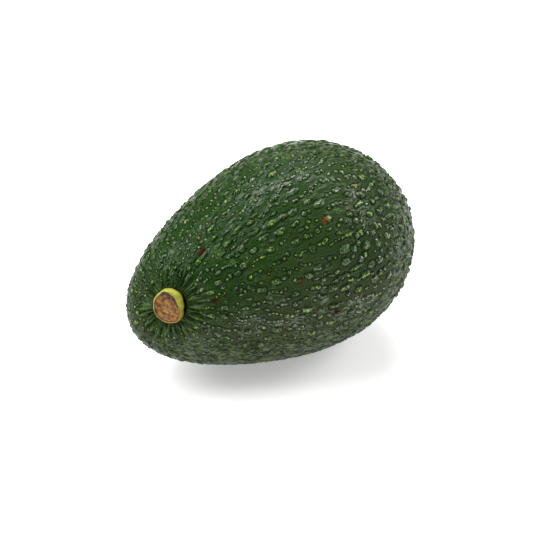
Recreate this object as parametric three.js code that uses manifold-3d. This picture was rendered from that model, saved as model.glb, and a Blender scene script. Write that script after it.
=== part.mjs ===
// A whole avocado with pebbled dark green skin, lying on its side, and the stem stub still in its socket.
// Millimetres, +Z up. The stem end points towards -X and leans down, as the fruit settles on a table.
// The origin is the middle of the small flat spot that the fruit rests on, at z = 0.

import * as THREE from "three";
import { ConvexHull } from "three/addons/math/ConvexHull.js";
import { mergeVertices } from "three/addons/utils/BufferGeometryUtils.js";
import Module from "manifold-3d";

const wasm = await Module();
wasm.setup();

const UP = new THREE.Vector3(0, 0, 1);

// The smooth body is an ellipsoid whose width grows by taper towards the blossom end, eased by shoulder.
const body = {
  halfLength: 48,
  halfWidth: 32.3,
  heightShare: 0.972,
  taper: 0.254,
  shoulder: -0.092,
  leanDeg: 10.4,
  restDepth: 0.75,
};

// The pebbles are thrown at random, at least a spacing apart, and stand out in clumps with calm skin between.
const pebbles = {
  seed: 20177,
  darts: 30000,
  spacing: 3.4,
  stemCrowding: 0.24,
  blossomCrowding: 0.16,
  lift: 1.1,
  leastLift: 0.45,
  leastTop: 0.3,
  topShare: 0.5,
  valleyDepth: 0.3,
  clumpLength: 5.2,
  calmRest: [9, 17],
  calmStem: [6, 11],
};

// The stem stub sits oblique on the upper side of the stem end, in a shallow dimple with puckered skin.
const stub = {
  along: -0.7965,
  across: -0.431,
  above: 0.424,
  droop: 0.22,
  dimpleDepth: 1.1,
  dimpleRadius: 7,
  gap: 0.32,
  segments: 40,
};

// Radius and height of the stub's outline: socket end, swollen green collar, then the corky broken face.
const stubOutline = [
  [0, -2.3],
  [2.2, -2.3],
  [3.9, -2.2],
  [4.65, -1.2],
  [5.25, -0.3],
  [5.5, 0.5],
  [5.35, 1.2],
  [5.05, 1.8],
  [4.75, 2.25],
  [4.3, 2.35],
  [3.8, 2.1],
  [2.9, 1.95],
  [1.9, 2.1],
  [0.9, 1.95],
  [0, 2.05],
];
const faceStartsAt = 9; // the first point of the outline that is on the broken face

// A small repeatable random draw from 0 to 1.
function makeDraw(seed) {
  let state = seed;
  return () => {
    state = (state * 48271) % 2147483647;
    return state / 2147483647;
  };
}

function smoothStep(low, high, value) {
  const t = Math.min(1, Math.max(0, (value - low) / (high - low)));
  return t * t * (3 - 2 * t);
}

// The point of the egg, centred and leaning, that a direction of the unit sphere is sent to.
function eggPoint(direction) {
  const { halfLength, halfWidth, heightShare, taper, shoulder, leanDeg } = body;
  const along = direction.x;
  const width = halfWidth * (1 + taper * along + shoulder * along ** 3);
  const point = new THREE.Vector3(halfLength * along, width * direction.y, width * heightShare * direction.z);
  return point.applyAxisAngle(new THREE.Vector3(0, -1, 0), THREE.MathUtils.degToRad(leanDeg));
}

// The lowest point of the leaning egg, searched along its middle section.
function lowestPoint() {
  const steps = 3600;
  let lowest = eggPoint(UP);
  for (let i = 0; i < steps; i++) {
    const angle = (2 * Math.PI * i) / steps;
    const point = eggPoint(new THREE.Vector3(Math.cos(angle), 0, Math.sin(angle)));
    if (point.z < lowest.z) lowest = point;
  }
  return lowest;
}

const lowest = lowestPoint();
const eggCentre = new THREE.Vector3(-lowest.x, 0, -lowest.z - body.restDepth);

function bodyPoint(direction) {
  return eggPoint(direction).add(eggCentre);
}

function bodyNormal(direction) {
  const step = 1e-3;
  const side = new THREE.Vector3(0, 1, 0);
  if (Math.abs(direction.y) > 0.9) side.set(0, 0, 1);
  const first = side.cross(direction).normalize();
  const second = direction.clone().cross(first);
  const here = bodyPoint(direction);
  const alongFirst = bodyPoint(direction.clone().addScaledVector(first, step).normalize()).sub(here);
  const alongSecond = bodyPoint(direction.clone().addScaledVector(second, step).normalize()).sub(here);
  return alongFirst.cross(alongSecond).normalize();
}

const stubDirection = new THREE.Vector3(stub.along, stub.across, stub.above).normalize();
const stubSeat = bodyPoint(stubDirection).addScaledVector(bodyNormal(stubDirection), -stub.dimpleDepth);
const stubAxis = bodyNormal(stubDirection).addScaledVector(UP, -stub.droop).normalize();

// Slow waves over the skin, from 0 in calm patches to 1 where pebbles crowd and stand out.
function clump(point) {
  const { x, y, z } = point.clone().divideScalar(pebbles.clumpLength);
  const waves = Math.sin(x + 1.3 * Math.sin(0.8 * y)) + Math.sin(1.2 * y + 1.1 * z) + Math.sin(1.1 * z - 0.7 * x);
  return smoothStep(-1.6, 1.2, waves);
}

// How much of their height the pebbles keep here: none at the resting spot and at the stem stub.
function reliefShare(point) {
  const [restLow, restHigh] = pebbles.calmRest;
  const [stemLow, stemHigh] = pebbles.calmStem;
  return smoothStep(restLow, restHigh, point.length()) * smoothStep(stemLow, stemHigh, point.distanceTo(stubSeat));
}

function throwPebbles() {
  const draw = makeDraw(pebbles.seed);
  const kept = [];
  for (let dart = 0; dart < pebbles.darts; dart++) {
    const along = 2 * draw() - 1;
    const turn = 2 * Math.PI * draw();
    const height = draw();
    const ring = Math.sqrt(1 - along * along);
    const direction = new THREE.Vector3(along, ring * Math.cos(turn), ring * Math.sin(turn));
    const at = bodyPoint(direction);
    const crowding = pebbles.stemCrowding * smoothStep(42, 8, at.distanceTo(stubSeat))
      + pebbles.blossomCrowding * smoothStep(0.5, 1, along);
    const spacing = pebbles.spacing * (1 - crowding);
    if (kept.some((other) => other.at.distanceTo(at) < spacing)) continue;
    const share = pebbles.leastLift + (1 - pebbles.leastLift) * clump(at);
    const lift = pebbles.lift * (0.55 + 0.6 * height) * share * reliefShare(at);
    kept.push({ direction, at, lift });
  }
  return kept;
}

// The dimple sinks the skin round the stub.
function dimple(point) {
  return stub.dimpleDepth * Math.exp(-((point.distanceTo(stubSeat) / stub.dimpleRadius) ** 2));
}

function skinPoint(direction, lift) {
  const at = bodyPoint(direction);
  return at.clone().addScaledVector(bodyNormal(direction), lift - dimple(at));
}

// The hull faces round one thrown point, anticlockwise seen from outside.
function facesRound(firstEdge) {
  const faces = [];
  let edge = firstEdge;
  do {
    faces.push(edge.face);
    edge = edge.prev.twin;
  } while (edge !== firstEdge);
  return faces;
}

// One pebble over its ring of valley corners: a tall one has a three-cornered top, a calm one only a tip.
function pebbleFaces(pebble, corners) {
  const next = (i) => (i + 1) % corners.length;
  if (pebble.lift < pebbles.leastTop) {
    const tip = skinPoint(pebble.direction, pebble.lift);
    return corners.flatMap((corner, i) => [tip, corner.point, corners[next(i)].point]);
  }
  const groupOf = (i) => Math.floor((3 * i) / corners.length);
  const top = [0, 1, 2].map((group) => {
    const ring = corners.filter((_, i) => groupOf(i) === group);
    const middle = ring.reduce((sum, corner) => sum.add(corner.direction), new THREE.Vector3()).normalize();
    return skinPoint(pebble.direction.clone().lerp(middle, pebbles.topShare).normalize(), pebble.lift);
  });
  const faces = [...top];
  corners.forEach((corner, i) => {
    const here = top[groupOf(i)];
    const there = top[groupOf(next(i))];
    faces.push(here, corner.point, corners[next(i)].point);
    if (there !== here) faces.push(here, corners[next(i)].point, there);
  });
  return faces;
}

// A hull of the thrown directions gives each pebble's neighbours, and the middle of each hull face is a
// valley corner, which the three pebbles round it share.
function makeSkin() {
  const thrown = throwPebbles();
  const pebbleAt = new Map(thrown.map((pebble) => [pebble.direction, pebble]));
  const hull = new ConvexHull().setFromPoints(thrown.map((pebble) => pebble.direction));
  const corners = new Map();
  const edges = new Map();
  for (const face of hull.faces) {
    const ring = [face.edge, face.edge.next, face.edge.next.next];
    const around = ring.map((edge) => edge.head().point);
    const direction = around.reduce((sum, point) => sum.add(point), new THREE.Vector3()).normalize();
    const lift = around.reduce((sum, point) => sum + pebbleAt.get(point).lift, 0) / around.length;
    const depth = pebbles.valleyDepth * (lift / pebbles.lift);
    corners.set(face, { direction, point: skinPoint(direction, -depth) });
    ring.forEach((edge) => edges.set(edge.tail().point, edge));
  }
  const faces = thrown.flatMap((pebble) => {
    const ring = facesRound(edges.get(pebble.direction));
    return pebbleFaces(pebble, ring.map((face) => corners.get(face)));
  });
  return new THREE.BufferGeometry().setFromPoints(faces);
}

// The stub is not quite round: its outline swells and flattens by a few slow waves.
function wobble(angle) {
  return 1 + 0.035 * Math.cos(2 * angle + 0.6) + 0.03 * Math.cos(3 * angle - 1.1) + 0.012 * Math.cos(7 * angle);
}

// A turned solid about +Z with the stub's wobble, its outline grown by a gap where it is the socket's cutter.
function turnOutline(outline, faceStart, roughness) {
  const geometry = new THREE.LatheGeometry(outline.map(([r, z]) => new THREE.Vector2(r, z)), stub.segments);
  geometry.rotateX(Math.PI / 2);
  const place = geometry.getAttribute("position");
  const rows = outline.length;
  for (let i = 0; i < place.count; i++) {
    const x = place.getX(i);
    const y = place.getY(i);
    const angle = Math.atan2(y, x);
    const row = i % rows;
    const reach = Math.hypot(x, y);
    const onFace = row >= faceStart && reach > 0.1;
    const rough = onFace ? roughness * Math.sin(3 * angle + 2.3 * reach) * Math.cos(5 * angle - 1.7 * reach) : 0;
    place.setXYZ(i, x * wobble(angle), y * wobble(angle), place.getZ(i) + rough);
  }
  return geometry;
}

function socketOutline() {
  const rim = 8;
  const { gap } = stub;
  const grown = stubOutline.filter(([r, z]) => r > 3 && z <= 0.5).map(([r, z]) => [r + gap, z - gap / 3]);
  const floor = stubOutline[0][1] - gap;
  return [[0, floor], [stubOutline[1][0], floor], ...grown, [6.6, 1.6], [7.4, rim], [0, rim]];
}

// Closed meshes as manifold solids and back, for the cuts.
function toSolid(geometry, matrix = new THREE.Matrix4()) {
  const bare = new THREE.BufferGeometry().setAttribute("position", geometry.getAttribute("position"));
  bare.setIndex(geometry.index);
  const merged = mergeVertices(bare.applyMatrix4(matrix), 1e-3);
  const mesh = new wasm.Mesh({
    numProp: 3,
    vertProperties: merged.getAttribute("position").array,
    triVerts: new Uint32Array(merged.index.array),
  });
  return new wasm.Manifold(mesh);
}

function toGeometry(solid) {
  const { vertProperties, triVerts } = solid.getMesh();
  const geometry = new THREE.BufferGeometry();
  geometry.setAttribute("position", new THREE.BufferAttribute(vertProperties, 3));
  geometry.setIndex(new THREE.BufferAttribute(triVerts, 1));
  geometry.computeVertexNormals();
  return geometry;
}

function stubTurn() {
  return new THREE.Quaternion().setFromUnitVectors(UP, stubAxis);
}

function makeFruit() {
  const tableSize = 240;
  const table = new THREE.BoxGeometry(tableSize, tableSize, tableSize);
  const underTable = new THREE.Matrix4().makeTranslation(0, 0, -tableSize / 2);
  const atStub = new THREE.Matrix4().compose(stubSeat, stubTurn(), new THREE.Vector3(1, 1, 1));
  const socket = turnOutline(socketOutline(), Infinity, 0);
  const solid = toSolid(makeSkin()).subtract(toSolid(table, underTable)).subtract(toSolid(socket, atStub));
  const finish = { color: 0x24461f, roughness: 0.42, metalness: 0, flatShading: true };
  const material = new THREE.MeshStandardMaterial(finish);
  const mesh = new THREE.Mesh(toGeometry(solid), material);
  mesh.name = "fruit";
  return mesh;
}

function makeStub() {
  const material = new THREE.MeshStandardMaterial({ color: 0xa8794a, roughness: 0.85, metalness: 0 });
  const mesh = new THREE.Mesh(turnOutline(stubOutline, faceStartsAt, 0.18), material);
  mesh.name = "stem_stub";
  mesh.position.copy(stubSeat);
  mesh.quaternion.copy(stubTurn());
  return mesh;
}

const avocado = new THREE.Group();
avocado.add(makeFruit(), makeStub());

export default avocado;
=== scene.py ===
import math

import bpy
import numpy as np
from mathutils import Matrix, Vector, kdtree


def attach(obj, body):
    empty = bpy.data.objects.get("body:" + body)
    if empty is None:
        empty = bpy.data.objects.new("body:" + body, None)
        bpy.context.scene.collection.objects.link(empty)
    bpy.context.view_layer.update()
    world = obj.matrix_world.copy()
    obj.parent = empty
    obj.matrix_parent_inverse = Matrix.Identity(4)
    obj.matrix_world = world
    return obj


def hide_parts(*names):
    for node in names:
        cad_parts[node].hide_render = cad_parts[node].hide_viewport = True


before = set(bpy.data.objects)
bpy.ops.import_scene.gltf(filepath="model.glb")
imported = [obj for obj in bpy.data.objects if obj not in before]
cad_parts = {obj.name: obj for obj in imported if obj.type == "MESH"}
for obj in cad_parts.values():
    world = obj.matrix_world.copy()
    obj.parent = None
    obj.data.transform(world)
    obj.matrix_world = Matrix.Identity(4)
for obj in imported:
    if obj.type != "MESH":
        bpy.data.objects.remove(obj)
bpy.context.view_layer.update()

mm = 0.001
up = np.array((0.0, 0.0, 1.0))


def smoothStep(low, high, value):
    share = np.clip((value - low) / (high - low), 0, 1)
    return share * share * (3 - 2 * share)


def unit(vectors):
    return vectors / np.linalg.norm(vectors, axis=-1, keepdims=True)


# the egg: all lengths in the dictionaries are millimetres, and a direction is a point of the unit sphere
egg = {
    "halfLength": 48.0,
    "halfWidth": 32.3,
    "heightShare": 0.972,
    "taper": 0.254,  # wider towards the blossom end
    "shoulder": -0.092,
    "leanDeg": 10.4,  # the stem end rests lower
    "restDepth": 0.75,  # how far the flat spot is pressed in
}


def eggWidth(along):
    return egg["halfWidth"] * (1 + egg["taper"] * along + egg["shoulder"] * along**3)


def leaningPoints(directions):
    along = directions[..., 0]
    width = eggWidth(along)
    x = egg["halfLength"] * along
    z = width * egg["heightShare"] * directions[..., 2]
    lean = math.radians(egg["leanDeg"])
    turnedX = x * math.cos(lean) - z * math.sin(lean)
    turnedZ = x * math.sin(lean) + z * math.cos(lean)
    return np.stack((turnedX, width * directions[..., 1], turnedZ), axis=-1)


def findCentre():
    angles = np.linspace(0, 2 * math.pi, 3600, endpoint=False)
    section = leaningPoints(np.stack((np.cos(angles), 0 * angles, np.sin(angles)), axis=-1))
    lowest = section[np.argmin(section[:, 2])]
    return np.array((-lowest[0], 0, -lowest[2] - egg["restDepth"]))


eggCentre = findCentre()


def bodyPoints(directions):
    return leaningPoints(directions) + eggCentre


def bodyNormals(directions):
    step = 1e-3
    side = np.where(np.abs(directions[..., 1:2]) > 0.9, (0.0, 0.0, 1.0), (0.0, 1.0, 0.0))
    first = unit(np.cross(side, directions))
    second = np.cross(directions, first)
    here = bodyPoints(directions)
    alongFirst = bodyPoints(unit(directions + first * step)) - here
    alongSecond = bodyPoints(unit(directions + second * step)) - here
    return unit(np.cross(alongFirst, alongSecond))


def directionsOf(points):  # the directions whose body points lie closest under these points
    lean = math.radians(egg["leanDeg"])
    x, y, z = np.moveaxis(points - eggCentre, -1, 0)
    along = np.clip((x * math.cos(lean) + z * math.sin(lean)) / egg["halfLength"], -0.999, 0.999)
    width = eggWidth(along)
    flat = z * math.cos(lean) - x * math.sin(lean)
    return unit(np.stack((along, y / width, flat / (width * egg["heightShare"])), axis=-1))


# where the stem stub sits
seat = {
    "direction": (-0.7965, -0.431, 0.424),
    "droop": 0.22,
    "dimpleDepth": 1.1,
    "dimpleRadius": 7.0,
    "socketRadius": 4.1,
    "socketEdge": (0.7, -0.3),
    "socketDepth": 1.9,
}
seatDirection = unit(np.array(seat["direction"]))
seatNormal = bodyNormals(seatDirection)
stubSeat = bodyPoints(seatDirection) - seatNormal * seat["dimpleDepth"]
stubAxis = unit(seatNormal - up * seat["droop"])
stubSide = unit(np.cross(up, stubAxis))  # to the right, seen from the camera
stubRise = np.cross(stubAxis, stubSide)  # upwards


def sunkPoints(directions):  # the body with the dimple and the socket pressed in
    at = bodyPoints(directions)
    away = at - stubSeat
    distance = np.linalg.norm(away, axis=-1)
    flatDistance = np.hypot(away @ stubSide, away @ stubRise)
    sink = seat["dimpleDepth"] * np.exp(-((distance / seat["dimpleRadius"]) ** 2))
    outer, inner = seat["socketEdge"]
    inSocket = smoothStep(seat["socketRadius"] + outer, seat["socketRadius"] + inner, flatDistance)
    sink = sink + seat["socketDepth"] * inSocket * (distance < 15)  # and not on the far side of the fruit
    return at - bodyNormals(directions) * sink[..., None]


# the camera, and where a ray through a pixel of the photograph meets the fruit
camera = {
    "azimuth": -29.13,
    "elevation": 34.0,
    "distance": 480.0,  # from the middle of the egg
    "lens": 101.7,
    "sensor": 36.0,
    "imageWidth": 550,
    "imageHeight": 536,
    "eggPixel": (268.65, 261.14),  # where the middle of the egg shows
    "searchReach": (-70, 20),  # along a ray, from the distance of the egg's middle
    "searchStep": 0.05,
}


def addObject(name, data):
    made = bpy.data.objects.new(name, data)
    bpy.context.scene.collection.objects.link(made)
    return made


def backTowards(azimuth, elevation):  # from the fruit towards a camera or a lamp, by degrees
    turn, rise = math.radians(azimuth), math.radians(elevation)
    return np.array((math.sin(turn) * math.cos(rise), -math.cos(turn) * math.cos(rise), math.sin(rise)))


def aim(made, place, back):
    made.location = Vector(place * mm)
    made.rotation_euler = Vector(-back).to_track_quat("-Z", "Y").to_euler()


def cameraAxes():
    azimuth = math.radians(camera["azimuth"])
    right = np.array((math.cos(azimuth), math.sin(azimuth), 0.0))
    back = backTowards(camera["azimuth"], camera["elevation"])
    return right, np.cross(back, right), back


cameraRight, cameraUp, cameraBack = cameraAxes()
focalPixels = camera["lens"] / camera["sensor"] * camera["imageWidth"]


def cameraPlace():
    offRight = camera["imageWidth"] / 2 - camera["eggPixel"][0]
    offUp = camera["eggPixel"][1] - camera["imageHeight"] / 2
    slide = (cameraRight * offRight + cameraUp * offUp) * camera["distance"] / focalPixels
    return eggCentre + cameraBack * camera["distance"] + slide


def directionAtPixel(x, y):
    offRight = (x - camera["imageWidth"] / 2) / focalPixels
    offUp = (camera["imageHeight"] / 2 - y) / focalPixels
    ray = unit(cameraRight * offRight + cameraUp * offUp - cameraBack)
    near, far = camera["searchReach"]
    distances = np.arange(camera["distance"] + near, camera["distance"] + far, camera["searchStep"])
    points = cameraPlace() + ray * distances[:, None]
    directions = directionsOf(points)
    depth = np.einsum("ij,ij->i", points - bodyPoints(directions), bodyNormals(directions))
    return directions[np.argmax(depth < 0)]


def makeCamera():
    data = bpy.data.cameras.new("camera")
    data.lens = camera["lens"]
    data.sensor_width = camera["sensor"]
    data.clip_start = 10 * mm
    made = addObject("camera", data)
    aim(made, cameraPlace(), cameraBack)
    bpy.context.scene.camera = made


makeCamera()
print("camera placed")


# small helpers for node trees
nodeGrid = {"columns": 14, "width": 220, "height": 260}


def setInputs(tree, node, inputs):
    for name, value in inputs.items():
        if isinstance(value, bpy.types.NodeSocket):
            tree.links.new(value, node.inputs[name])
        else:
            node.inputs[name].default_value = value


def addNode(tree, kind, inputs=None, **settings):
    made = tree.nodes.new(kind)
    row, column = divmod(len(tree.nodes), nodeGrid["columns"])
    made.location = (nodeGrid["width"] * column, -nodeGrid["height"] * row)
    for name, value in settings.items():
        setattr(made, name, value)
    setInputs(tree, made, inputs or {})
    return made


def calculate(tree, operation, first, second=0.0, third=0.0, clamp=False):
    values = {0: first, 1: second, 2: third}
    return addNode(tree, "ShaderNodeMath", values, operation=operation, use_clamp=clamp).outputs[0]


def plus(tree, first, second, clamp=False):
    return calculate(tree, "ADD", first, second, clamp=clamp)


def minus(tree, first, second, clamp=False):
    return calculate(tree, "SUBTRACT", first, second, clamp=clamp)


def over(tree, first, second):
    return calculate(tree, "DIVIDE", first, second)


def times(tree, first, *others):
    for other in others:
        first = calculate(tree, "MULTIPLY", first, other)
    return first


def larger(tree, first, *others):
    for other in others:
        first = calculate(tree, "MAXIMUM", first, other)
    return first


def scaled(tree, value, factor, offset=1.0):  # the value times a factor, plus an offset
    return calculate(tree, "MULTIPLY_ADD", value, factor, offset)


def combine(tree, operation, first, second=(0, 0, 0)):
    made = addNode(tree, "ShaderNodeVectorMath", {0: first, 1: second}, operation=operation)
    return made.outputs["Value" if operation in ("DOT_PRODUCT", "LENGTH", "DISTANCE") else "Vector"]


def dot(tree, first, second):
    return combine(tree, "DOT_PRODUCT", first, second)


def stretch(tree, vector, factor):
    return addNode(tree, "ShaderNodeVectorMath", {0: vector, "Scale": factor}, operation="SCALE").outputs[0]


def axes(tree, vector):
    return addNode(tree, "ShaderNodeSeparateXYZ", {0: vector}).outputs


def join(tree, **parts):
    return addNode(tree, "ShaderNodeCombineXYZ", parts).outputs[0]


def remap(tree, value, low, high, toLow=0.0, toHigh=1.0):
    values = {"Value": value, "From Min": low, "From Max": high, "To Min": toLow, "To Max": toHigh}
    return addNode(tree, "ShaderNodeMapRange", values, interpolation_type="SMOOTHSTEP").outputs["Result"]


def band(tree, value, low, lowFull, highFull, high):  # rises from low and falls to high
    return times(tree, remap(tree, value, low, lowFull), remap(tree, value, high, highFull))


def noise(tree, place, scale, detail, **more):
    values = {"Vector": place, "Scale": scale, "Detail": detail} | more
    return addNode(tree, "ShaderNodeTexNoise", values).outputs[0]


def giveInputs(tree, inputs, outputs):
    for name, (kind, value) in inputs.items():
        socket = tree.interface.new_socket(name=name, in_out="INPUT", socket_type="NodeSocket" + kind)
        if value is not None:
            socket.default_value = value
    for name, kind in outputs.items():
        tree.interface.new_socket(name=name, in_out="OUTPUT", socket_type="NodeSocket" + kind)
    return tree.nodes.new("NodeGroupInput").outputs, tree.nodes.new("NodeGroupOutput").inputs


# the pebbles: thrown at random with a least spacing, then split into beads that run in rows from the stub
pebbles = {
    "seed": 20177,
    "darts": 30000,
    "spacing": 3.4,
    "smallDarts": 14000,
    "smallSpacing": 2.4,
    "stemCrowding": 0.24,
    "stemReach": (42, 8),
    "blossomCrowding": 0.16,
    "clumpLength": 5.2,
    "clumpShare": (0.7, 0.3),
    "calmRest": (9, 17),  # no beads near the resting spot and near the stub
    "calmStem": (7, 14),
    "beadSeed": 411,
    "beadHeight": 0.92,
    "leastBeadHeight": 0.04,
    "heightSpread": (0.55, 0.6),
    "heightJitter": (0.8, 1.15),
    "lowerAtBlossom": (0.12, 12, 38),
    "lowerInSun": 0.3,
    "lowerBelow": (0.35, 0.65, 6, 22),
    "beadWidth": 1.14,
    "beadWidths": (1.12, 0.86, 0.72, 0.6),  # by how many beads the pebble has
    "widthJitter": (0.74, 1.2),
    "narrowerInSun": 0.25,
    "narrowerAtStem": 0.18,
    "moreBeads": (0.64, 0.38, 0.15),  # chances of a second, third and fourth bead
    "beadSpread": 1.6,
    "alongJitter": 0.1,
    "acrossJitter": (0.34, 0.02),  # in a row of beads, and alone
    "smallWidth": 0.55,
    "nearStem": (52, 12),
    "rowPull": 0.7,  # how much longer than wide a pebble is near the stub
    "leastPull": 0.25,
    "ridgePull": 1.3,  # and on the sunny side
    "ridgeReach": (22, 58),
}


def clump(points):
    x, y, z = np.moveaxis(points / pebbles["clumpLength"], -1, 0)
    waves = np.sin(x + 1.3 * np.sin(0.8 * y)) + np.sin(1.2 * y + 1.1 * z) + np.sin(1.1 * z - 0.7 * x)
    return smoothStep(-1.6, 1.2, waves)


def reliefShare(points):
    atRest = smoothStep(*pebbles["calmRest"], np.linalg.norm(points, axis=-1))
    return atRest * smoothStep(*pebbles["calmStem"], np.linalg.norm(points - stubSeat, axis=-1))


def makeDraw(seed):
    state, factor, modulus = seed, 48271, 2147483647

    def draw():
        nonlocal state
        state = state * factor % modulus
        return state / modulus

    return draw


def throwPebbles():  # large ones first, then small ones in what room is left
    draw = makeDraw(pebbles["seed"])
    total = pebbles["darts"] + pebbles["smallDarts"]
    draws = np.array([draw() for _ in range(3 * total)]).reshape(total, 3)
    along = 2 * draws[:, 0] - 1
    turn = 2 * math.pi * draws[:, 1]
    ring = np.sqrt(1 - along**2)
    directions = np.stack((along, ring * np.cos(turn), ring * np.sin(turn)), axis=-1)
    points = bodyPoints(directions)
    stemDistance = np.linalg.norm(points - stubSeat, axis=-1)
    crowding = pebbles["stemCrowding"] * smoothStep(*pebbles["stemReach"], stemDistance)
    crowding = crowding + pebbles["blossomCrowding"] * smoothStep(0.5, 1, along)
    isSmall = np.arange(total) >= pebbles["darts"]
    spacing = np.where(isSmall, pebbles["smallSpacing"], pebbles["spacing"]) * (1 - crowding)
    kept = []
    taken = np.empty((total, 3))
    for dart in range(total):
        gaps = taken[: len(kept)] - points[dart]
        if len(kept) and np.min(np.einsum("ij,ij->i", gaps, gaps)) < spacing[dart] ** 2:
            continue
        taken[len(kept)] = points[dart]
        kept.append(dart)
    return directions[kept], draws[kept, 2], isSmall[kept]


def rowAxes(points, normals):  # along the row, away from the stub, and across it
    away = points - stubSeat
    along = unit(away - normals * np.einsum("ij,ij->i", away, normals)[:, None])
    return along, np.cross(normals, along)


def beadRise(points, heights, sunny):  # how high the beads of each pebble stand
    low, more = pebbles["clumpShare"]
    leastHeight, heightRange = pebbles["heightSpread"]
    rise = (leastHeight + heightRange * heights) * (low + more * clump(points)) * reliefShare(points)
    less, *reach = pebbles["lowerAtBlossom"]
    rise = rise * (1 - less * smoothStep(*reach, points[:, 0])) * (1 - pebbles["lowerInSun"] * sunny)
    low, more, *reach = pebbles["lowerBelow"]
    return rise * (low + more * smoothStep(*reach, points[:, 2]))


def splitIntoBeads(directions, heights, isSmall):
    draw = np.random.default_rng(pebbles["beadSeed"])
    points = bodyPoints(directions)
    alongRow, acrossRow = rowAxes(points, bodyNormals(directions))
    nearStem = smoothStep(*pebbles["nearStem"], np.linalg.norm(points - stubSeat, axis=-1))
    sunny = smoothStep(*pebbles["ridgeReach"], points[:, 2] - points[:, 0])
    rise = beadRise(points, heights, sunny)
    places, sizes, alongs = [], [], []
    for i in range(len(points)):
        chance = draw.random()
        count = 1 if isSmall[i] else 1 + sum(chance < limit for limit in pebbles["moreBeads"])
        width = pebbles["smallWidth"] if isSmall[i] else pebbles["beadWidths"][count - 1]
        width = pebbles["beadWidth"] * width * (1 - pebbles["narrowerAtStem"] * nearStem[i])
        for bead in range(count):
            spread = (bead - (count - 1) / 2) * pebbles["beadSpread"] * width
            offset = alongRow[i] * (spread + draw.normal(0, pebbles["alongJitter"]))
            offset = offset + acrossRow[i] * draw.normal(0, pebbles["acrossJitter"][count == 1])
            halfWidth = width * draw.uniform(*pebbles["widthJitter"])
            halfWidth *= 1 - pebbles["narrowerInSun"] * sunny[i]
            pull = pebbles["rowPull"] * nearStem[i] + pebbles["leastPull"]
            pull = 1 + pull * draw.random() * (count == 1)
            pull += pebbles["ridgePull"] * sunny[i] * draw.random() * (count == 1)
            height = pebbles["beadHeight"] * rise[i] * draw.uniform(*pebbles["heightJitter"])
            places.append(points[i] + offset)
            sizes.append((halfWidth * pull, halfWidth, height * math.sqrt(width)))
            alongs.append(alongRow[i])
    return directionsOf(np.array(places)), np.array(sizes), np.array(alongs)


def makeMesh(name, points, faces, **attributes):  # from places in millimetres
    mesh = bpy.data.meshes.new(name)
    mesh.from_pydata((points * mm).tolist(), [], faces)
    for attributeName, values in attributes.items():
        values = np.asarray(values, np.float32)
        kind, field = ("FLOAT_VECTOR", "vector") if values.ndim == 2 else ("FLOAT", "value")
        layer = mesh.attributes.new(attributeName, kind, "POINT")
        layer.data.foreach_set(field, values.ravel())
    return mesh


def pointCloud(name, points, **attributes):
    return addObject(name, makeMesh(name, points, [], **attributes))


def makeBeadCloud():
    directions, sizes, alongs = splitIntoBeads(*throwPebbles())
    raised = sizes[:, 2] > pebbles["leastBeadHeight"]
    directions, sizes, alongs = directions[raised], sizes[raised], alongs[raised]
    out = bodyNormals(directions)
    cloud = pointCloud("bead points", sunkPoints(directions), size=sizes * mm, along=alongs, out=out)
    print("pebble beads:", len(directions))
    return cloud, directions, sizes


beadCloud, beadDirections, beadSizes = makeBeadCloud()


# the small pale dots on the pebbles, and the larger marks at their places in the photograph
dots = {
    "seed": 97,
    "share": 0.76,  # of the beads that have a dot
    "secondShare": 0.6,  # of those beads that have two, if they are wide enough
    "secondWidth": 0.7,
    "secondOffCentre": 0.65,
    "secondRadius": 0.75,
    "radius": (0.2, 0.42),
    "widthEffect": (0.6, 1.1),
    "offCentre": 0.3,
    "looseCount": 260,
    "looseRadius": (0.1, 0.16),
    "clearStub": 7.5,
}
marks = [  # pixel, radius in millimetres, tone: from orange 0 to dark red 1, and 2 for a pale scuff of painted highlight
    ((325.5, 219.5), 1.0, 0.0),
    ((202.0, 250.0), 1.2, 0.95),
    ((199.5, 254.0), 0.8, 1.0),
    ((214.5, 301.0), 1.0, 0.9),
    ((211.0, 310.0), 0.5, 1.0),
    ((303.0, 281.5), 0.75, 0.6),
    ((197.0, 239.0), 0.5, 0.7),
    ((286.0, 218.5), 0.55, 0.85),
    ((291.5, 236.0), 0.5, 0.8),
    ((281.0, 238.5), 0.4, 0.85),
    ((354.0, 186.5), 0.5, 0.2),
    ((359.0, 182.5), 0.4, 0.7),
    ((260.5, 303.0), 0.4, 0.8),
    ((285.5, 292.0), 0.4, 0.35),
    ((269.0, 276.0), 0.4, 0.75),
    ((337.0, 312.0), 0.9, 1.0),
    ((214.0, 251.5), 1.9, 2.0),
    ((338.0, 209.5), 1.3, 2.0),
    ((286.0, 156.0), 1.8, 2.0),
    ((349.0, 232.0), 1.0, 2.0),
    ((232.0, 262.0), 1.1, 2.0),
]


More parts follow.
